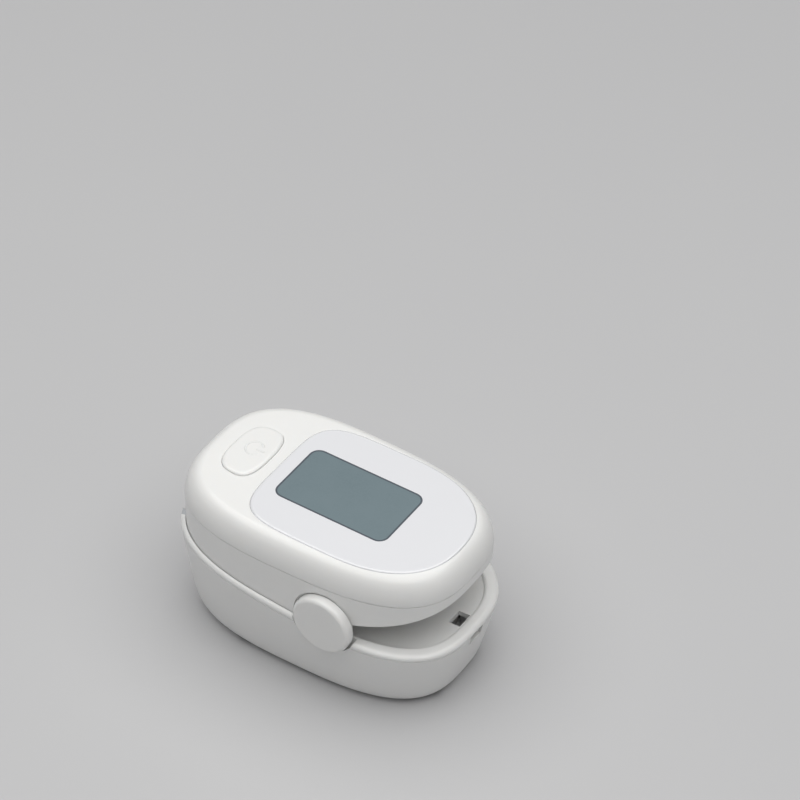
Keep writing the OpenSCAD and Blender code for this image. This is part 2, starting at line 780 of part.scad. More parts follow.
top_cover();
display_lens();
lens_mask();
display_panel();
display_gasket();
main_board();
board_chips();
board_connector();
tact_switch();
switch_plunger();
power_button();
upper_frame();
upper_finger_pad();
emitter_board();
emitter_leds();
emitter_window();
upper_screws();
lower_frame();
lower_finger_pad();
sensor_board();
photodiode();
sensor_window();
link_cable();
bottom_cover();
battery_cover();
cell_left();
cell_right();
cell_springs();
cell_contacts();
cell_bridge();
hinge_axle();
hinge_cap_left();
hinge_cap_right();
torsion_spring_left();
torsion_spring_right();
lower_screws();
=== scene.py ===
"""Fingertip pulse oximeter: the visible shells at full detail, materials, light and camera.

Shapes are built in millimetres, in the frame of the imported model, and scaled to metres at the end.
"""
import json
import math

import bpy
import numpy as np
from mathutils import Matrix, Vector


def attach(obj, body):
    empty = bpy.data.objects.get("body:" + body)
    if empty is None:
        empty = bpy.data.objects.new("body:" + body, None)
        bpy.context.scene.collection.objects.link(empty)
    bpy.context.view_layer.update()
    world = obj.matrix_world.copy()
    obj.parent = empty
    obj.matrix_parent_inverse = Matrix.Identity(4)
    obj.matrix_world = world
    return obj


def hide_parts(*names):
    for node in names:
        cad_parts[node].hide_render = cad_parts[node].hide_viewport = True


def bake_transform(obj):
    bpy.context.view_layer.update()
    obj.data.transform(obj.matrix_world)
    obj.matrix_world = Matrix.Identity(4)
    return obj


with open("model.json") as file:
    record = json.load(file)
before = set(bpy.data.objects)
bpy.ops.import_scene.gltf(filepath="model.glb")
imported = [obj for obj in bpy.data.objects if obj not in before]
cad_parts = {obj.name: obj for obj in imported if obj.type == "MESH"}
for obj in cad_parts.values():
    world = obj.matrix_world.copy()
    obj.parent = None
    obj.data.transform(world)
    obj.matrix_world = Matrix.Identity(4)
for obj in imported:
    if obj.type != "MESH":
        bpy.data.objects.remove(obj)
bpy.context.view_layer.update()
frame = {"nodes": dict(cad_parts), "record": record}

MM = 0.001

# ---------- the design's sizes, in millimetres ----------

UPPER_A, UPPER_B, LOWER_A, LOWER_B = 29.0, 17.9, 30.0, 18.7
TAPER, LOWER_TAPER, SQUARE = -0.03, -0.02, 2.9
SEAM_Z, PLATEAU_Z, LENS_TOP_Z = 27.35, 32.85, 33.0
SHOULDER, COVER_T, WALL = 3.3, 1.3, 1.2
LENS_SEAT_Z = LENS_TOP_Z - 0.9
CEILING_Z = PLATEAU_Z - 2.1
BOARD_TOP_Z, BOARD_T = LENS_TOP_Z - 4.2, 1.0
PLUNGER_TOP_Z = BOARD_TOP_Z + 1.8
LENS_X, LENS_A, LENS_B = 6.8, 19.6, 14.6
DISPLAY_X, DISPLAY_L, DISPLAY_W = 2.2, 23.5, 13.6
BUTTON_X, BUTTON_A, BUTTON_B = -19.1, 4.0, 6.7
BUTTON_TOP_Z, MARK_H = PLATEAU_Z + 0.45, 0.1
HINGE_X, HINGE_Z, AXLE_R = 8.7, 19.2, 1.0
CAP_R, CAP_FACE, CAP_CLEAR, HUB_R = 6.05, 19.25, 0.45, 2.4
EAR_IN, EAR_T, EAR_R, SIDE_EAR_R, BOSS_IN, BOSS_T, BOSS_R = 14.4, 1.6, 3.4, 5.2, 12.5, 1.6, 2.9
RIM_Z, RIM_SLOPE, LIP_W, LIP_H = 18.3, -0.105, 2.5, 1.25
SEAM_GAP, NEST_GAP, NEST_D, SKIRT_GAP, UPPER_EDGE = 0.12, 0.15, 0.8, 0.3, -0.4
FINGER_R, PAD_T, STOP_X, TUNNEL_END_X = 9.5, 1.5, 2.0, 3.2
ARCH_Z, BED_Z, PINCH_ROOF_Z = 12.5, 23.9, 23.9
TRAY_FLOOR_Z, TRAY_SLOPE = 13.5, 0.05
CELL_L, CELL_X, BAY_W = 44.2, -1.3, 10.9
BAY_X0, BAY_X1 = CELL_X - CELL_L/2 - 1.2, CELL_X + CELL_L/2 + 1.2
DOOR_W, DOOR_T, DOOR_X1, RAIL_X1 = 11.5, 1.5, BAY_X1 + 0.3, 18.5
GRIP_AT, GRIP_L, GRIP_W, GRIP_D = (-19, -17.4, -15.8, -14.2), 0.7, 4.5, 0.4
LANYARD_W, SENSOR_X = 3.4, -9.0
LANYARD_X0, LANYARD_X1, CABLE_SLOT_W = 24.9, 27.3, 1.9
HEAD_R, SHANK_R, THREAD_R = 1.6, 1.0, 0.8          # holes for the screws
COVER_POST_R, FRAME_POST_R, LOWER_POST_R = 1.7, 2.1, 1.45
MODULE_HALF_L, MODULE_HALF_W, LIGHT_HOLE_R = 13.9, 10.1, 2.6
UPPER_SCREWS = [(-13, 12.2), (-13, -12.2), (15.5, 12.2), (15.5, -12.2)]
LOWER_SCREWS = [(-12, 13.5), (-12, -13.5), (24.4, 5.6), (24.4, -5.6)]
SIDES = ((1, "left"), (-1, "right"))

RING = 224          # points round an oval
FAR = 40.0          # beyond every surface


def rim(x):
    """Height of the lower jaw's lip."""
    return RIM_Z + RIM_SLOPE*x


def mouth(x):
    """Height of the upper jaw's edge at the pinch end."""
    return 18.47 + 0.14*x + 0.007*(x - HINGE_X)**2


# ---------- outlines ----------

def oval(a, b, k=TAPER, xc=0.0, n=SQUARE, m=RING, back_n=None):
    """Superellipse that narrows by k along its length, with its own squareness on the side of -X."""
    t = 2*np.pi*np.arange(m)/m
    c, s = np.cos(t), np.sin(t)
    e = np.where((c < 0) & (back_n is not None), back_n or n, n)
    r = ((np.abs(c)/a)**e + (np.abs(s)/b)**e)**(-1/e)
    return np.stack([xc + r*c, r*s*(1 + k*r*c/a)], 1)


def upper_oval(inset):
    return oval(UPPER_A - inset, UPPER_B - inset)


def lower_oval(inset, xc=0.0):
    return oval(LOWER_A - inset, LOWER_B - inset, LOWER_TAPER, xc)


def lens_outline(grow):
    return oval(LENS_A + grow, LENS_B + grow, 0.0, LENS_X, 2.4, RING, 5.0)


def button_outline(grow):
    return oval(BUTTON_A + grow, BUTTON_B + grow, 0.05, BUTTON_X, 2.8, 160)


def round_rect(x0, x1, half_w, r):
    steps = 10
    corners = [(x1 - r, half_w - r, 0), (x0 + r, half_w - r, 90),
               (x0 + r, r - half_w, 180), (x1 - r, r - half_w, 270)]
    return np.array([(x + r*math.cos(math.radians(a + 90*i/steps)),
                      y + r*math.sin(math.radians(a + 90*i/steps)))
                     for x, y, a in corners for i in range(steps + 1)])


def display_outline(grow):
    return round_rect(DISPLAY_X - DISPLAY_L/2 - grow, DISPLAY_X + DISPLAY_L/2 + grow,
                      DISPLAY_W/2 + grow, 1.7 + grow)


def level(outline, z, slope=0.0):
    """Outline at height z, or on a slope along the length."""
    return np.column_stack([outline, z + slope*outline[:, 0]])


# ---------- solids ----------

def new_object(points, faces, name="shape"):
    mesh = bpy.data.meshes.new(name)
    mesh.from_pydata([tuple(map(float, p)) for p in points], [], faces)
    obj = bpy.data.objects.new(name, mesh)
    bpy.context.scene.collection.objects.link(obj)
    return obj


def skin(rings):
    """Closed skin through rings of as many points each, with flat ends."""
    m, n = len(rings[0]), len(rings)
    faces = []
    for j in range(n - 1):
        k = j + 1
        faces += [(j*m + i, j*m + (i + 1) % m, k*m + (i + 1) % m, k*m + i) for i in range(m)]
    faces.append(tuple(range(m - 1, -1, -1)))
    faces.append(tuple((n - 1)*m + i for i in range(m)))
    return new_object(np.vstack(rings), faces)


def prism(outline, z0, z1):
    outline = np.asarray(outline, float)
    return skin([level(outline, z0), level(outline, z1)])


def turned(rings_2d, m=128):
    """Stack of circles along +Z: [(radius, height), ...], as points."""
    t = 2*np.pi*np.arange(m)/m
    return [np.column_stack([r*np.cos(t), r*np.sin(t), np.full(m, h)]) for r, h in rings_2d]


def to_axis(rings, axis, x=0.0, y=0.0, z=0.0):
    """Turns rings stacked along +Z so that they stack along +X or +Y, and moves them."""
    turn = {"x": lambda r: np.column_stack([r[:, 2], r[:, 0], r[:, 1]]),
            "y": lambda r: np.column_stack([r[:, 1], r[:, 2], r[:, 0]]),
            "z": lambda r: r}[axis]
    return [turn(r) + np.array([x, y, z]) for r in rings]


def rod(r, a, b, axis, x=0.0, y=0.0, z=0.0, m=96):
    return skin(to_axis(turned([(r, a), (r, b)], m), axis, x, y, z))


def along_x(r, x0, x1, z, y=0.0):
    return rod(r, x0, x1, "x", y=y, z=z, m=160)


def across(side, near, far):
    """Lowest and highest y of what lies from near to far off the middle, on one side."""
    return sorted((side*near, side*far))


def along_y(r, y0, y1, side=1):
    """Rod on the hinge's axis."""
    lo, hi = across(side, y0, y1)
    return rod(r, lo, hi, "y", x=HINGE_X, z=HINGE_Z, m=128)


def block(x0, x1, y0, y1, z0, z1):
    return prism([(x0, y0), (x1, y0), (x1, y1), (x0, y1)], z0, z1)


def side_cut(profile, half_w=25.0):
    """[x, z] profile, extruded across the whole width."""
    p = np.asarray(profile, float)
    area = np.sum(p[:, 0]*np.roll(p[:, 1], -1) - np.roll(p[:, 0], -1)*p[:, 1])
    if area < 0:
        p = p[::-1]
    rings = [np.column_stack([p[:, 0], np.full(len(p), y), p[:, 1]]) for y in (half_w, -half_w)]
    return skin(rings)


def bake(obj):
    """Applies obj's modifiers to its mesh."""
    graph = bpy.context.evaluated_depsgraph_get()
    mesh = bpy.data.meshes.new_from_object(obj.evaluated_get(graph))
    old = obj.data
    obj.modifiers.clear()
    obj.data = mesh
    bpy.data.meshes.remove(old)
    return obj


def combine(obj, operation, tools):
    for tool in tools:
        mod = obj.modifiers.new("join", "BOOLEAN")
        mod.operation, mod.solver, mod.object = operation, "MANIFOLD", tool
    bake(obj)
    for tool in tools:
        mesh = tool.data
        bpy.data.objects.remove(tool)
        bpy.data.meshes.remove(mesh)
    return obj


def add(obj, *tools):
    return combine(obj, "UNION", tools)


def cut(obj, *tools):
    return combine(obj, "DIFFERENCE", tools)


def keep(obj, *tools):
    return combine(obj, "INTERSECT", tools)


def rounded(obj, width):
    """Rounds the sharp edges."""
    mod = obj.modifiers.new("round", "BEVEL")
    mod.width, mod.segments, mod.limit_method = width, 3, "ANGLE"
    mod.angle_limit, mod.use_clamp_overlap = math.radians(50), False
    return bake(obj)


def quarter(r_in, r_up, steps=6):
    """Quarter round as (step inwards, height) pairs, from the side up to the top."""
    turns = [math.pi/2*i/steps for i in range(steps + 1)]
    return [(r_in*(1 - math.cos(t)), r_up*math.sin(t)) for t in turns]


def smooth_path(knots, fine):
    """Curve through the knots, with fine steps from each to the next."""
    ends = np.vstack([2*knots[0] - knots[1], knots, 2*knots[-1] - knots[-2]])
    path = []
    for a, b, c, d in zip(ends, ends[1:], ends[2:], ends[3:]):
        for t in np.arange(fine)/fine:
            path.append(0.5*(2*b + (c - a)*t + (2*a - 5*b + 4*c - d)*t*t + (3*b - a - 3*c + d)*t**3))
    return np.array(path + [knots[-1]])


def flared(outline, z0, z1, r):
    """Cutter for an opening whose upper edge, at height z1, is rounded by r."""
    rings = [level(outline(0), z0)]
    rings += [level(outline(i), z1 - r + z) for i, z in quarter(r, r, 5)]
    rings.append(level(outline(r), z1 + 2))
    return skin(rings)


def finished(obj, name, body, slot, nodes=(), angle=35.0):
    """Scales to metres, smooths, gives the material and joins the frame. A piece given no body stays
    unattached.
    """
    obj.name = obj.data.name = name
    mesh = obj.data
    points = np.empty(len(mesh.vertices)*3, np.float32)
    mesh.vertices.foreach_get("co", points)
    mesh.vertices.foreach_set("co", points*MM)
    mesh.shade_smooth()
    mesh.set_sharp_from_angle(angle=math.radians(angle))
    mod = obj.modifiers.new("normals", "WEIGHTED_NORMAL")
    mod.keep_sharp = True
    mesh.materials.clear()
    mesh.materials.append(MATERIALS[slot])
    if body:
        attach(obj, body)
    if nodes:
        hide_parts(*nodes)
    return obj


# ---------- materials ----------

def shader_tree(name):
    mat = bpy.data.materials.new(name)
    mat.use_nodes = True
    tree = mat.node_tree
    return mat, tree, tree.nodes["Principled BSDF"]


def noise(tree, scale, detail=3.0, roughness=0.55):
    """Noise in the piece's own coordinates, scale in features a metre."""
    where = tree.nodes.new("ShaderNodeTexCoord")
    tex = tree.nodes.new("ShaderNodeTexNoise")
    tex.inputs["Scale"].default_value = scale
    tex.inputs["Detail"].default_value = detail
    tex.inputs["Roughness"].default_value = roughness
    tree.links.new(where.outputs["Object"], tex.inputs["Vector"])
    return tex.outputs["Fac"]


def between(tree, fac, low, high):
    """Spreads a noise's middle range over low to high."""
    node = tree.nodes.new("ShaderNodeMapRange")
    node.inputs["From Min"].default_value, node.inputs["From Max"].default_value = 0.3, 0.7
    node.inputs["To Min"].default_value, node.inputs["To Max"].default_value = low, high
    tree.links.new(fac, node.inputs["Value"])
    return node.outputs["Result"]


def mixed(tree, fac, one, other):
    node = tree.nodes.new("ShaderNodeMix")
    node.data_type = "RGBA"
    tree.links.new(fac, node.inputs["Factor"])
    for key, value in (("A", one), ("B", other)):
        socket = [s for s in node.inputs if s.name == key and s.type == "RGBA"][0]
        if isinstance(value, tuple):
            socket.default_value = (*value, 1.0)
        else:
            tree.links.new(value, socket)
    return [s for s in node.outputs if s.type == "RGBA"][0]


def bumped(tree, bsdf, height, distance):
    bump = tree.nodes.new("ShaderNodeBump")
    bump.inputs["Strength"].default_value = 0.5
    bump.inputs["Distance"].default_value = distance
    tree.links.new(height, bump.inputs["Height"])
    tree.links.new(bump.outputs["Normal"], bsdf.inputs["Normal"])


def moulded(name, base, rough, shift, grain=2500.0, grain_depth=4e-6, coat=0.0, subsurface=0.0):
    """Moulded plastic or rubber: a faint cloud in its colour, a fine grain and uneven gloss."""
    mat, tree, bsdf = shader_tree(name)
    cloud = noise(tree, 90.0)
    darker = tuple(c*(1 - shift) for c in base)
    tree.links.new(mixed(tree, between(tree, cloud, 0.0, 1.0), darker, base), bsdf.inputs["Base Color"])
    fine = noise(tree, grain, 2.0)
    tree.links.new(between(tree, fine, rough*0.93, rough*1.07), bsdf.inputs["Roughness"])
    bumped(tree, bsdf, fine, grain_depth)
    if coat:
        bsdf.inputs["Coat Weight"].default_value = coat
        bsdf.inputs["Coat Roughness"].default_value = 0.04
    if subsurface:
        bsdf.inputs["Subsurface Weight"].default_value = subsurface
        bsdf.inputs["Subsurface Radius"].default_value = (1.0, 0.9, 0.8)
        bsdf.inputs["Subsurface Scale"].default_value = 0.0012
    return mat


def metal(name, base, rough):
    mat, tree, bsdf = shader_tree(name)
    grain = noise(tree, 1800.0, 4.0, 0.6)
    darker = tuple(c*0.86 for c in base)
    tree.links.new(mixed(tree, grain, darker, base), bsdf.inputs["Base Color"])
    tree.links.new(between(tree, grain, rough*0.8, rough*1.25), bsdf.inputs["Roughness"])
    bumped(tree, bsdf, grain, 3e-6)
    bsdf.inputs["Metallic"].default_value = 1.0
    return mat


def clear(name, base, rough=0.05):
    mat, tree, bsdf = shader_tree(name)
    haze = noise(tree, 700.0)
    tree.links.new(mixed(tree, haze, tuple(c*0.97 for c in base), base), bsdf.inputs["Base Color"])
    tree.links.new(between(tree, haze, rough*0.8, rough*1.3), bsdf.inputs["Roughness"])
    bsdf.inputs["Transmission Weight"].default_value = 0.92
    bsdf.inputs["IOR"].default_value = 1.49
    return mat


def circuit_board(name):
    """Green solder mask with paler copper tracks under it."""
    mat, tree, bsdf = shader_tree(name)
    where = tree.nodes.new("ShaderNodeTexCoord")
    tracks = tree.nodes.new("ShaderNodeTexBrick")
    tracks.inputs["Scale"].default_value = 260.0
    tracks.inputs["Mortar Size"].default_value = 0.03
    for key, colour in (("Color1", (0.01, 0.13, 0.05)), ("Color2", (0.015, 0.16, 0.06)),
                        ("Mortar", (0.05, 0.3, 0.12))):
        tracks.inputs[key].default_value = (*colour, 1.0)
    tree.links.new(where.outputs["Object"], tracks.inputs["Vector"])
    tree.links.new(tracks.outputs["Color"], bsdf.inputs["Base Color"])
    tree.links.new(between(tree, noise(tree, 900.0), 0.28, 0.4), bsdf.inputs["Roughness"])
    return mat


def banded_cell(name):
    """Foil sleeve of a cell: a dark body with a copper-coloured band at one end."""
    mat, tree, bsdf = shader_tree(name)
    where = tree.nodes.new("ShaderNodeTexCoord")
    split = tree.nodes.new("ShaderNodeSeparateXYZ")
    step = tree.nodes.new("ShaderNodeMapRange")
    step.inputs["From Min"].default_value, step.inputs["From Max"].default_value = 0.0088, 0.0090
    tree.links.new(where.outputs["Object"], split.inputs["Vector"])
    tree.links.new(split.outputs["X"], step.inputs["Value"])
    tree.links.new(mixed(tree, step.outputs["Result"], (0.03, 0.03, 0.035), (0.55, 0.3, 0.12)),
                   bsdf.inputs["Base Color"])
    tree.links.new(between(tree, noise(tree, 3500.0, 2.0), 0.26, 0.31), bsdf.inputs["Roughness"])
    bsdf.inputs["Metallic"].default_value = 0.6
    return mat


def display_face(name):
    """Switched-off display behind its clear cover: a grey-green sheet with a very fine grid, its pale
    tone partly the film's own colour and partly painted reflection of the surroundings.
    """
    mat, tree, bsdf = shader_tree(name)
    cloud = between(tree, noise(tree, 160.0), 0.0, 1.0)
    speck = between(tree, noise(tree, 3200.0, 2.0), 0.0, 1.0)
    tone = mixed(tree, cloud, DISPLAY_DARK, DISPLAY_PALE)
    tree.links.new(mixed(tree, speck, tone, DISPLAY_PALE), bsdf.inputs["Base Color"])
    tree.links.new(between(tree, speck, 0.32, 0.42), bsdf.inputs["Roughness"])
    bsdf.inputs["Coat Weight"].default_value = 1.0
    bsdf.inputs["Coat Roughness"].default_value = 0.03
    return mat


SHELL_WHITE = (0.83, 0.83, 0.818)
PRINT_WHITE = (0.785, 0.79, 0.815)
# display tones: the film's own grey-green, made paler by painted reflection
DISPLAY_DARK = (0.138, 0.192, 0.214)
DISPLAY_PALE = (0.158, 0.214, 0.236)

MATERIALS = {
    "shell": moulded("shell_plastic", SHELL_WHITE, 0.3, 0.012, grain_depth=1.5e-6, coat=0.15,
                     subsurface=0.12),
    "lens": moulded("lens_print", PRINT_WHITE, 0.25, 0.008, grain=1500.0, grain_depth=3e-7, coat=1.0),
    "mask": moulded("mask_print", PRINT_WHITE, 0.5, 0.01),
    "display": display_face("display_face"),
    # dark ring round the display window: painted shade for the thin shadow along its edge
    "border": moulded("display_edge_shade", (0.075, 0.09, 0.11), 0.3, 0.1, coat=1.0),
    "gasket": moulded("gasket_foam", (0.02, 0.02, 0.02), 0.8, 0.3, grain=900.0, grain_depth=2e-5),
    "board": circuit_board("circuit_board"),
    "chip": moulded("chip_epoxy", (0.02, 0.02, 0.022), 0.5, 0.2),
    "connector": moulded("connector_nylon", (0.72, 0.68, 0.56), 0.45, 0.05),
    "switch_metal": metal("switch_steel", (0.6, 0.6, 0.6), 0.3),
    "switch_plastic": moulded("switch_plastic", (0.03, 0.03, 0.03), 0.4, 0.2),
    "pad": moulded("pad_silicone", (0.5, 0.52, 0.54), 0.55, 0.05, grain=1800.0, grain_depth=1.2e-5,
                   subsurface=0.15),
    "led": clear("led_epoxy", (0.95, 0.8, 0.75)),
    "window": clear("window_epoxy", (0.85, 0.9, 0.95)),
    "flex": moulded("flex_film", (0.55, 0.27, 0.06), 0.3, 0.15),
    "steel": metal("plated_steel", (0.62, 0.61, 0.58), 0.25),
    "cell": banded_cell("cell_sleeve"),
}


# ---------- upper jaw ----------

def make_top_cover():
    rings = [level(upper_oval(5), CEILING_Z), level(upper_oval(3), CEILING_Z - 0.4),
             level(upper_oval(1.7), CEILING_Z - 1.6), level(upper_oval(COVER_T), SEAM_Z)]
    rings += [level(upper_oval(0.16 - i), SEAM_Z + z) for z, i in quarter(0.16, 0.16, 4)]
    rings += [level(upper_oval(i), SEAM_Z + z) for i, z in quarter(SHOULDER, PLATEAU_Z - SEAM_Z, 20)
              if z > 0.3]
    cover = skin(rings)
    add(cover, *[rod(COVER_POST_R, BOARD_TOP_Z + 0.1, CEILING_Z + 0.1, "z", x, y, m=40)
                 for x, y in UPPER_SCREWS])
    module = round_rect(DISPLAY_X - MODULE_HALF_L, DISPLAY_X + MODULE_HALF_L, MODULE_HALF_W, 0.6)
    cut(cover, flared(lambda r: lens_outline(0.03 + r), LENS_SEAT_Z, PLATEAU_Z, 0.1),
        flared(lambda r: button_outline(0.08 + r), CEILING_Z - 1, PLATEAU_Z, 0.15),
        prism(module, CEILING_Z - 1, LENS_SEAT_Z + 0.1))
    finished(cover, "top_cover_shell", "upper_jaw", "shell", ["top_cover"])


def make_lens():
    """Clear panel, printed white from below except over the display, with a dark ring of painted shade
    round the display for the thin shadow along its edge.
    """
    low, edge_shade_w = LENS_SEAT_Z + 0.12, 0.35
    rings = [level(lens_outline(0), low)]
    rings += [level(lens_outline(-i), LENS_TOP_Z - 0.3 + z) for i, z in quarter(0.4, 0.3, 8)]
    lens = skin(rings)
    cut(lens, prism(display_outline(edge_shade_w), 0, FAR))
    finished(lens, "lens_panel", "upper_jaw", "lens", ["display_lens"])
    # ring of painted shade round the display window, for the shadow line at its edge
    border = prism(display_outline(edge_shade_w), low, LENS_TOP_Z)
    cut(border, prism(display_outline(0), 0, FAR))
    finished(border, "display_edge_shade", "upper_jaw", "border")
    window = prism(display_outline(0), low, LENS_TOP_Z)
    finished(window, "display_window", "upper_jaw", "display")


def raised_line(path, width, height, z):
    """Half-round bead along a path on a level face, with round ends."""
    path = np.asarray(path, float)
    sides = 9
    way = np.gradient(path, axis=0)
    way /= np.linalg.norm(way, axis=1)[:, None]
    side = np.column_stack([-way[:, 1], way[:, 0]])
    run = np.concatenate([[0], np.cumsum(np.linalg.norm(np.diff(path, axis=0), axis=1))])
    near = np.minimum(run, run[-1] - run)/(width/2)
    full = np.sqrt(np.clip(1 - (1 - np.clip(near, 0.02, 1))**2, 0.02, 1))
    rings = []
    for p, s, f in zip(path, side, full):
        t = np.pi*np.arange(sides)/(sides - 1)
        ring = [(*(p + s*math.cos(a)*width/2*f), z + height*f*math.sin(a)) for a in t]
        ring += [(*(p - s*width/2*f), z - 0.1), (*(p + s*width/2*f), z - 0.1)]
        rings.append(np.array(ring))
    return skin(rings)


def make_button():
    low = CEILING_Z - 0.5
    rings = [level(button_outline(0.05), low)]
    rings += [level(button_outline(0.05 - i), BUTTON_TOP_Z - 0.4 + z) for i, z in quarter(0.75, 0.4, 10)]
    button = skin(rings)
    add(button, prism(button_outline(0.6), low - 0.1, CEILING_Z - 0.25))
    # hollow, with a stem over the switch's plunger
    hollow = prism(button_outline(-1.1), low - 1, BUTTON_TOP_Z - 1.2)
    cut(button, cut(hollow, rod(1.6, PLUNGER_TOP_Z + 0.02, FAR, "z", BUTTON_X, 0.0, m=48)))
    finished(button, "power_button_cap", "button", "shell", ["power_button"])
    centre, arc_r, line_w = np.array([BUTTON_X + 0.2, 0.5]), 1.7, 0.42
    arc = [centre + arc_r*np.array([math.cos(a), math.sin(a)])
           for a in np.linspace(math.radians(34), math.radians(326), 60)]
    bar = [centre + np.array([x, 0.0]) for x in np.linspace(0.3, 2.3, 16)]
    mark = raised_line(arc, line_w, MARK_H, BUTTON_TOP_Z)
    add(mark, raised_line(bar, line_w, MARK_H, BUTTON_TOP_Z))
    finished(mark, "power_mark", "button", "shell", angle=50)


# ---------- hinge ----------

def make_caps():
    back, round_r = 17.35, 0.8
    profile = [(CAP_R, back)]
    profile += [(CAP_R - i, CAP_FACE - round_r + up) for i, up in quarter(round_r, round_r, 10)]
    profile += [(3.0, CAP_FACE), (0.5, CAP_FACE)]
    for side, word in SIDES:
        rings = to_axis(turned(profile, 160), "y", x=HINGE_X, z=HINGE_Z)
        if side < 0:
            rings = [r[::-1]*np.array([1, -1, 1]) for r in rings]
        cap = skin(rings)
        add(cap, along_y(HUB_R, EAR_IN + EAR_T + 0.1, back + 0.1, side))
        finished(cap, f"side_cap_{word}", "lower_jaw", "shell", [f"hinge_cap_{word}"])


def wire(path, r):
    """Round wire along a path that never runs along Y."""
    sides = 10
    way = np.gradient(path, axis=0)
    side = np.cross(way, (0.0, 1.0, 0.0))
    side /= np.linalg.norm(side, axis=1)[:, None]
    other = np.cross(way, side)
    other /= np.linalg.norm(other, axis=1)[:, None]
    turns = 2*np.pi*np.arange(sides)/sides
    return skin([p + r*(np.outer(np.cos(turns), a) + np.outer(np.sin(turns), b))
                 for p, a, b in zip(path, side, other)])


def make_torsion_springs():
    """One leg lies under the upper jaw, and the other lies on the tray."""
    r, y0, pitch, wire_r, turns = 1.95, 11.6, 0.68, 0.3, 4
    up_a, down_a = 60.0, -75.0          # where the upper and lower legs leave the coil
    span = 360*turns + down_a - up_a + 360
    y1 = y0 - pitch*span/360
    n = round(span/360*24)
    coil = [(HINGE_X + r*math.cos(math.radians(up_a + span*i/n)), y0 - pitch*span/360*i/n,
             HINGE_Z + r*math.sin(math.radians(up_a + span*i/n))) for i in range(n + 1)]
    foot_z = TRAY_FLOOR_Z + TRAY_SLOPE*(HINGE_X + 6.6) + 0.45
    path = ([(HINGE_X + 7.2, y0, PINCH_ROOF_Z - 0.34), (HINGE_X + 3.2, y0, HINGE_Z + 3.2)] + coil
            + [(HINGE_X + 3.2, y1, HINGE_Z - 3.4), (HINGE_X + 6.6, y1, foot_z)])
    for side, word in SIDES:
        bent = np.array(path)*np.array([1, side, 1])
        if side < 0:
            bent = bent[::-1]
        spring = finished(wire(bent, wire_r), f"clip_spring_{word}", None, "steel",
                          [f"torsion_spring_{word}"], 60)
        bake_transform(spring)


def make_link_cable():
    """Ribbon from the sensor board up past the axle to the main board."""
    knots = np.array([(-6, 11.83), (-4, 11.78), (2, 11.6), (4.4, 11.9), (5.3, 12.9), (5.5, 15), (5.4, 18),
                      (5.5, 21), (5.8, 23.5), (6.2, 25.6), (6.9, 26.85), (8.4, 27)], float)
    path = smooth_path(knots, 8)
    way = np.gradient(path, axis=0)
    out = np.column_stack([way[:, 1], -way[:, 0]])*0.08/np.linalg.norm(way, axis=1)[:, None]
    rings = []
    for (x, z), (dx, dz) in zip(path, out):
        rings.append(np.array([(x + dx, -1.36, z + dz), (x + dx, 1.36, z + dz), (x, 1.4, z),
                               (x - dx, 1.36, z - dz), (x - dx, -1.36, z - dz), (x, -1.4, z)]))
    cable = finished(skin(rings), "link_ribbon", None, "flex", ["link_cable"], 60)
    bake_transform(cable)


# ---------- housings ----------

def wall_edge():
    """Bottom edge of the upper wall, from the finger end to the pinch end."""
    low = -NEST_D + SKIRT_GAP
    return ([(-32, rim(-32) + low), (TUNNEL_END_X, rim(TUNNEL_END_X) + low), (4.6, 17.6), (6.2, 18.9),
             (8.2, 19.6)] + [(x, mouth(x)) for x in np.arange(10.5, 31, 1.0)])


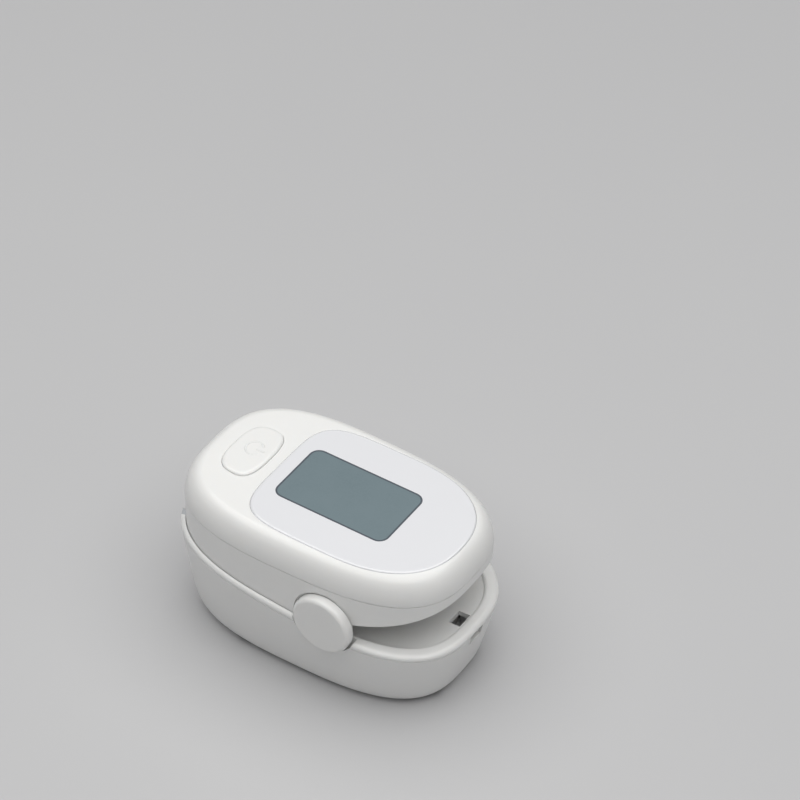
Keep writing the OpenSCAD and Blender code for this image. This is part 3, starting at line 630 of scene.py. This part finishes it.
def make_upper_frame():
    top = SEAM_Z - SEAM_GAP
    outer = [level(upper_oval(0.05), 14), level(upper_oval(0.05), top - 0.16)]
    outer += [level(upper_oval(0.05 + i), top - 0.16 + z) for i, z in quarter(0.16, 0.16, 4)][1:]
    frame_body = skin(outer)
    cut(frame_body, prism(upper_oval(WALL), 13, SEAM_Z + 1))
    keep(frame_body, side_cut(wall_edge() + [(32, 40), (-32, 40)]))
    rounded(frame_body, 0.14)
    e, x1 = UPPER_EDGE, TUNNEL_END_X
    deck = side_cut([(-32, rim(-32) + e), (x1, rim(x1) + e), (x1, rim(x1) + e + 1.1),
                     (-32, rim(-32) + e + 1.1)])
    roof = [(STOP_X, rim(3) + e + 0.6), (x1, rim(3) + e + 0.6), (x1, PINCH_ROOF_Z), (18, PINCH_ROOF_Z),
            (25, 25.4), (32, 25.6), (32, 26.3), (24, 26.3), (17.6, PINCH_ROOF_Z + 1),
            (STOP_X, PINCH_ROOF_Z + 1)]
    add(deck, side_cut(roof, 24), along_x(FINGER_R + PAD_T + 1.1, -31, x1 - 0.01, ARCH_Z))
    keep(deck, prism(upper_oval(WALL - 0.2), 14.1, SEAM_Z - 1))
    cut(deck, along_x(FINGER_R + PAD_T + 0.1, -40, STOP_X, ARCH_Z),
        side_cut([(-40, 0), (40, 0), (40, rim(40) + e), (-40, rim(-40) + e)]))
    tongue = skin([level(upper_oval(WALL - 0.1), SEAM_Z - 1.6), level(upper_oval(WALL - 0.1), top - 0.02),
                   level(upper_oval(COVER_T + 0.3), top - 0.02),
                   level(upper_oval(COVER_T + 0.3), SEAM_Z + 0.8)])
    cut(tongue, prism(upper_oval(COVER_T + 1), SEAM_Z - 2, SEAM_Z + 2))
    add(frame_body, deck, tongue)
    for side in (1, -1):
        y0, y1 = across(side, BOSS_IN, BOSS_IN + BOSS_T)
        post = block(HINGE_X - BOSS_R, HINGE_X + BOSS_R, y0, y1, HINGE_Z, PINCH_ROOF_Z + 0.5)
        add(post, along_y(BOSS_R, BOSS_IN, BOSS_IN + BOSS_T, side))
        add(frame_body, post, along_y(SIDE_EAR_R, EAR_IN + EAR_T + 0.2, 17.4, side))
    for x, y in UPPER_SCREWS:
        z = head_z(x)
        add(frame_body, rod(FRAME_POST_R, z, BOARD_TOP_Z - BOARD_T - 0.05, "z", x, y, m=64))
        cut(frame_body, rod(HEAD_R, z - 1.3, z + 1.3, "z", x, y, m=48),
            rod(SHANK_R, z, z + 12, "z", x, y, m=32))
    cable_slot = block(4.4, 8.4, -CABLE_SLOT_W, CABLE_SLOT_W, PINCH_ROOF_Z - 1, PINCH_ROOF_Z + 2)
    cut(frame_body, along_x(FINGER_R + PAD_T + 0.1, -40, -26, ARCH_Z), along_y(AXLE_R + 0.05, -15, 15),
        rod(3.2, 20, 28, "z", SENSOR_X, 0), cable_slot)
    for side in (1, -1):
        cut(frame_body, along_y(CAP_R + CAP_CLEAR, 17.2, 25, side), along_y(HUB_R + 0.3, 15, 25, side))
    finished(frame_body, "upper_frame_shell", "upper_jaw", "shell", ["upper_frame"])


def head_z(x):
    """Height of an upper screw's head."""
    return rim(x) + UPPER_EDGE + 0.3 if x < 0 else PINCH_ROOF_Z


def hull_rings(inset, floor_z, fine=4):
    """Outer surface of the bottom cover: rings from the underside up to the frame."""
    # step inwards, height, share of the rim's slope, shift along the length
    rows = np.array([(6.2 + inset, floor_z, 0, -0.2), (4.9 + inset, floor_z + 0.3, 0, -0.2),
                     (3.5 + inset, floor_z + 1.15, 0, -0.2), (2.6 + inset, floor_z + 2.5, 0, -0.2),
                     (1.95 + inset, 5 + inset/2, 0, -0.2), (1.1 + inset, 10, 1/3, -0.1),
                     (0.1 + inset, RIM_Z - LIP_H - 0.3, 1, 0)])
    rings = list(smooth_path(rows, fine))
    rings += [rows[-1] + np.array([i, z, 0, 0]) for i, z in quarter(0.25, 0.25, 4)][1:]
    return [level(lower_oval(i, shift), max(z, floor_z), RIM_SLOPE*share) for i, z, share, shift in rings]


def frame_core():
    """Room inside the bottom cover, up past the rim."""
    return skin(hull_rings(1.25, 1.6, 1) + [level(lower_oval(1.75), 30)])


def cap_rooms():
    """Cutters for the side caps' round recesses."""
    return [along_y(CAP_R + CAP_CLEAR, EAR_IN + EAR_T + 0.05, 25, side) for side in (1, -1)]


def lip_ring():
    """Rolled lip round the mouth of the lower jaw."""
    rings = [level(lower_oval(0.35 - i), RIM_Z - LIP_H + z, RIM_SLOPE) for z, i in quarter(0.35, 0.35, 5)]
    rings += [level(lower_oval(i), RIM_Z - 0.7 + z, RIM_SLOPE) for i, z in quarter(0.95, 0.7, 9)]
    lip = skin(rings)
    roll = [level(lower_oval(LIP_W), RIM_Z - 5, RIM_SLOPE)]
    roll += [level(lower_oval(LIP_W - i), RIM_Z - 0.5 + z, RIM_SLOPE) for i, z in quarter(0.75, 0.5, 8)]
    roll.append(level(lower_oval(LIP_W - 0.75), RIM_Z + 5, RIM_SLOPE))
    return cut(lip, skin(roll))


def dish(inset, share):
    """Ring of the dished tray: share 0 is its floor, share 1 the foot of the lip's rounded edge."""
    return level(lower_oval(inset), TRAY_FLOOR_Z + share*(RIM_Z - 0.45 - TRAY_FLOOR_Z),
                 TRAY_SLOPE + share*(RIM_SLOPE - TRAY_SLOPE))


def make_lower_frame():
    x1, x0 = TUNNEL_END_X, STOP_X
    body = lip_ring()
    step = prism(upper_oval(0.05 - NEST_GAP), 5, 30)
    keep(step, side_cut([(-40, rim(-40) - NEST_D), (x1, rim(x1) - NEST_D), (x1, 40), (-40, 40)]))
    cut(body, step)
    deck = side_cut([(-32, rim(-32) - NEST_D - 1.1), (x1, rim(x1) - NEST_D - 1.1), (x1, rim(x1) - NEST_D),
                     (-32, rim(-32) - NEST_D)])
    bed = along_x(FINGER_R + PAD_T + 1, -31.9, x1 - 0.01, BED_Z)
    keep(bed, side_cut([(-32, 8), (x1, 8), (x1, rim(x1) - NEST_D - 0.01),
                        (-32, rim(-32) - NEST_D - 0.01)], 24))
    add(deck, bed)
    keep(deck, frame_core())
    cut(deck, along_x(FINGER_R + PAD_T + 0.1, -40, x0, BED_Z))
    tray = side_cut([(x0, TRAY_FLOOR_Z - 0.9), (32, TRAY_FLOOR_Z + 0.6), (32, rim(32) - 0.45),
                     (5, rim(5) - 0.45), (x1, rim(x1) - NEST_D), (x0, rim(x0) - NEST_D)])
    keep(tray, frame_core())
    hollow = skin([dish(inset, share) for inset, share in
                   ((9, 0), (7.7, 0.02), (6.4, 0.06), (5.4, 0.105), (4.6, 0.17), (3.9, 0.29), (3.4, 0.45),
                    (2.98, 0.66), (LIP_W + 0.15, 0.85), (LIP_W + 0.04, 0.94), (LIP_W, 1))]
                  + [level(lower_oval(LIP_W), RIM_Z + 8, RIM_SLOPE)])
    cut(hollow, block(x0 - 1, x1, -30, 30, 0, rim(x1) - NEST_D))
    cut(tray, hollow)
    add(body, deck, tray)
    for side in (1, -1):
        y0, y1 = across(side, EAR_IN, EAR_IN + EAR_T)
        ear = block(HINGE_X - EAR_R, HINGE_X + EAR_R, y0, y1, TRAY_FLOOR_Z - 0.3, HINGE_Z)
        add(ear, along_y(EAR_R, EAR_IN, EAR_IN + EAR_T, side))
        add(body, ear)
    for x, y in LOWER_SCREWS:
        top = rim(x) - NEST_D - 0.5 if x < 0 else TRAY_FLOOR_Z + 0.6
        post = rod(LOWER_POST_R, 8.2, top, "z", x, y, m=40)
        add(body, cut(post, rod(THREAD_R, 6, 12.6, "z", x, y, m=24)))
    cut(body, along_y(AXLE_R + 0.03, -17, 17), *cap_rooms())
    half = LANYARD_W/2
    sensor_room = block(SENSOR_X - 5.1, SENSOR_X + 5.1, -3.3, 3.3, 8, 14)
    lanyard_hole = block(LANYARD_X0, LANYARD_X1, -half, half, 8, 30)
    cable_slot = block(4.2, 6.4, -CABLE_SLOT_W, CABLE_SLOT_W, 8, 15)
    cut(body, along_x(FINGER_R + PAD_T + 0.1, -40, -15, BED_Z), sensor_room, lanyard_hole, cable_slot)
    finished(body, "lower_frame_shell", "lower_jaw", "shell", ["lower_frame"])


def bay_plan(grow, cut_x, cut_y):
    """Plan of the battery bay with its corners cut off, by cut_x and cut_y at the finger end."""
    x0, x1, y = BAY_X0, BAY_X1, BAY_W
    return [(x0 - grow, -y + cut_y), (x0 + cut_x, -y - grow), (x1 - 1.2, -y - grow),
            (x1 + grow, -y + 1.6), (x1 + grow, y - 1.6), (x1 - 1.2, y + grow),
            (x0 + cut_x, y + grow), (x0 - grow, y - cut_y)]


def door_plan(gap):
    """Plan of the battery door, open at the finger end."""
    x1, y = DOOR_X1, DOOR_W
    return [(-FAR, -y - gap), (x1 - 1.3, -y - gap), (x1 + gap, -y + 1.8), (x1 + gap, y - 1.8),
            (x1 - 1.3, y + gap), (-FAR, y + gap)]


def make_bottom_cover():
    body = skin(hull_rings(0, 0) + hull_rings(1.15, 1.5, 1)[::-1])
    walls = keep(prism(bay_plan(0.85, 3.4, 4.1), 1.3, 11.2), skin(hull_rings(0.4, 0.4, 1)))
    add(body, walls, *[rod(FRAME_POST_R, 2.7, 8.1, "z", x, y, m=48) for x, y in LOWER_SCREWS])
    # battery bay, and the door with its two grooves
    room = block(BAY_X0, BAY_X1, -BAY_W, BAY_W, 4, 20)
    add(room, prism(bay_plan(-0.03, 2.3, 2.4), -1, 5),
        prism(door_plan(0.13), -1.1, DOOR_T + 0.1))
    for side in (1, -1):
        y0, y1 = across(side, BAY_W - 0.2, DOOR_W + 0.75)
        add(room, block(-39, RAIL_X1 + 0.2, y0, y1, DOOR_T - 0.22, DOOR_T + 0.95))
    cut(body, room)
    for x, y in LOWER_SCREWS:
        bore = rod(SHANK_R, 3, 11, "z", x, y, m=32)
        cut(body, add(bore, rod(HEAD_R, -1, 3.65, "z", x, y, m=48)))
    for room in cap_rooms():
        cut(body, room)
    cut(body, along_x(FINGER_R + PAD_T + 1.05, -40, -20, BED_Z))
    cut(body, block(25, 40, -LANYARD_W/2 - 0.3, LANYARD_W/2 + 0.3, 11.6, 30))
    finished(body, "bottom_shell", "lower_jaw", "shell", ["bottom_cover"])


def make_battery_cover():
    body = prism(door_plan(0), 0, DOOR_T)
    rounded(body, 0.2)
    for side in (1, -1):
        y0, y1 = across(side, BAY_W, DOOR_W + 0.6)
        add(body, block(-21, RAIL_X1, y0, y1, DOOR_T - 0.1, DOOR_T + 0.8))
    keep(body, skin(hull_rings(0, 0)))
    cut(body, *[block(x, x + GRIP_L, -GRIP_W, GRIP_W, -1, GRIP_D) for x in GRIP_AT])
    finished(body, "battery_door_panel", "battery_door", "shell", ["battery_cover"])


def make_finger_pads():
    """Silicone liners of the finger tunnel, each with a hole for the light."""
    low, high = UPPER_EDGE + 0.1, -NEST_D - 0.05
    for word, z, x0, plan, profile in (
            ("upper", ARCH_Z, -28.4, upper_oval(0.5),
             [(-40, rim(-40) + low), (40, rim(40) + low), (40, 40), (-40, 40)]),
            ("lower", BED_Z, -LOWER_A, lower_oval(0),
             [(-40, 5), (40, 5), (40, rim(40) + high), (-40, rim(-40) + high)])):
        pad = along_x(FINGER_R + PAD_T, x0, STOP_X - 0.05, z)
        cut(pad, along_x(FINGER_R, x0 - 1, STOP_X - 1.4, z))
        keep(pad, prism(plan, 8, 30), side_cut(profile))
        rounded(pad, 0.3)
        cut(pad, rod(LIGHT_HOLE_R, 8, 28, "z", SENSOR_X, 0, m=64))
        finished(pad, f"finger_liner_{word}", f"{word}_jaw", "pad", [f"{word}_finger_pad"])


# ---------- CAD nodes that stay ----------

def smoothing_group():
    """Joins the facets' corners and shades them smooth, except across sharp edges."""
    group = bpy.data.node_groups.new("smooth_facets", "GeometryNodeTree")
    for way in ("INPUT", "OUTPUT"):
        group.interface.new_socket("Geometry", in_out=way, socket_type="NodeSocketGeometry")
    make = group.nodes.new
    start, end = make("NodeGroupInput"), make("NodeGroupOutput")
    merge = make("GeometryNodeMergeByDistance")
    merge.inputs["Distance"].default_value = 2e-7
    drop = make("GeometryNodeRemoveAttribute")
    drop.inputs["Name"].default_value = "custom_normal"
    faces, edges = make("GeometryNodeSetShadeSmooth"), make("GeometryNodeSetShadeSmooth")
    faces.domain, edges.domain = "FACE", "EDGE"
    edges.inputs["Shade Smooth"].default_value = False
    angle, sharp = make("GeometryNodeInputMeshEdgeAngle"), make("FunctionNodeCompare")
    sharp.data_type, sharp.operation = "FLOAT", "GREATER_THAN"
    sharp.inputs[1].default_value = math.radians(30)
    link = group.links.new
    link(start.outputs[0], merge.inputs["Geometry"])
    link(merge.outputs["Geometry"], drop.inputs["Geometry"])
    link(drop.outputs["Geometry"], faces.inputs["Geometry"])
    link(faces.outputs["Geometry"], edges.inputs["Geometry"])
    link(angle.outputs["Unsigned Angle"], sharp.inputs[0])
    link(sharp.outputs["Result"], edges.inputs["Selection"])
    link(edges.outputs["Geometry"], end.inputs[0])
    return group


def dress_cad_nodes():
    smooth = smoothing_group()
    slot_of = {s["node"]: s["material_slot"] for s in frame["record"]["subparts"]}
    for name, obj in frame["nodes"].items():
        for i in range(len(obj.material_slots)):
            obj.material_slots[i].material = MATERIALS[slot_of[name]]
        mod = obj.modifiers.new("smooth", "NODES")
        mod.node_group = smooth


# ---------- floor, light and camera ----------

def make_floor():
    size = 3.0
    corners = [(-size, -size, 0), (size, -size, 0), (size, size, 0), (-size, size, 0)]
    floor = new_object(corners, [(0, 1, 2, 3)], "floor")
    mat, tree, bsdf = shader_tree("floor_paint")
    cloud = noise(tree, 6.0)
    tree.links.new(mixed(tree, cloud, (0.50, 0.50, 0.51), (0.53, 0.53, 0.535)), bsdf.inputs["Base Color"])
    bsdf.inputs["Roughness"].default_value = 0.6
    floor.data.materials.append(mat)


def area_light(name, place, size, power, colour):
    target = Vector((0, 0, 0.02))
    data = bpy.data.lights.new(name, "AREA")
    data.shape, data.size, data.energy, data.color = "DISK", size, power, colour
    obj = bpy.data.objects.new(name, data)
    bpy.context.scene.collection.objects.link(obj)
    obj.location = Vector(place)
    obj.rotation_euler = (target - Vector(place)).to_track_quat("-Z", "Y").to_euler()


def make_light():
    """A soft sky that is brighter overhead, and two lamps."""
    world = bpy.data.worlds.new("studio")
    bpy.context.scene.world = world
    world.use_nodes = True
    tree = world.node_tree
    sky = tree.nodes["Background"]
    where, split = tree.nodes.new("ShaderNodeTexCoord"), tree.nodes.new("ShaderNodeSeparateXYZ")
    ramp = tree.nodes.new("ShaderNodeMapRange")
    ramp.inputs["From Min"].default_value, ramp.inputs["From Max"].default_value = -0.2, 0.9
    tree.links.new(where.outputs["Generated"], split.inputs["Vector"])
    tree.links.new(split.outputs["Z"], ramp.inputs["Value"])
    tree.links.new(mixed(tree, ramp.outputs["Result"], (0.2, 0.2, 0.21), (0.9, 0.92, 0.96)),
                   sky.inputs["Color"])
    sky.inputs["Strength"].default_value = 0.17
    area_light("key", place=(0.02, -0.04, 0.72), size=1.3, power=8.45, colour=(1.0, 0.995, 0.98))
    area_light("side_fill", place=(0.75, -0.1, 0.3), size=0.5, power=0.2, colour=(1.0, 0.99, 0.97))
    bpy.context.scene.view_settings.view_transform = "Standard"


def make_camera():
    azimuth, elevation = math.radians(33.69), math.radians(42.21)
    distance, aside, upwards, focal_length = 653.77, 11.009, 16.264, 163.62
    back = Vector((math.sin(azimuth)*math.cos(elevation), -math.cos(azimuth)*math.cos(elevation),
                   math.sin(elevation)))
    right = Vector((math.cos(azimuth), math.sin(azimuth), 0))
    up = back.cross(right)
    data = bpy.data.cameras.new("camera")
    camera = bpy.data.objects.new("camera", data)
    bpy.context.scene.collection.objects.link(camera)
    place = back*distance + right*aside + up*upwards + Vector((0, 0, LENS_TOP_Z))
    camera.location = place*MM
    camera.rotation_mode = "QUATERNION"
    camera.rotation_quaternion = (-back).to_track_quat("-Z", "Y")
    data.sensor_width, data.lens = 36.0, focal_length
    data.clip_start, data.clip_end = 0.01, 10.0
    bpy.context.scene.camera = camera


dress_cad_nodes()
make_top_cover()
make_lens()
make_button()
make_caps()
make_torsion_springs()
make_link_cable()
make_upper_frame()
make_lower_frame()
make_bottom_cover()
make_battery_cover()
make_finger_pads()
make_floor()
make_light()
make_camera()
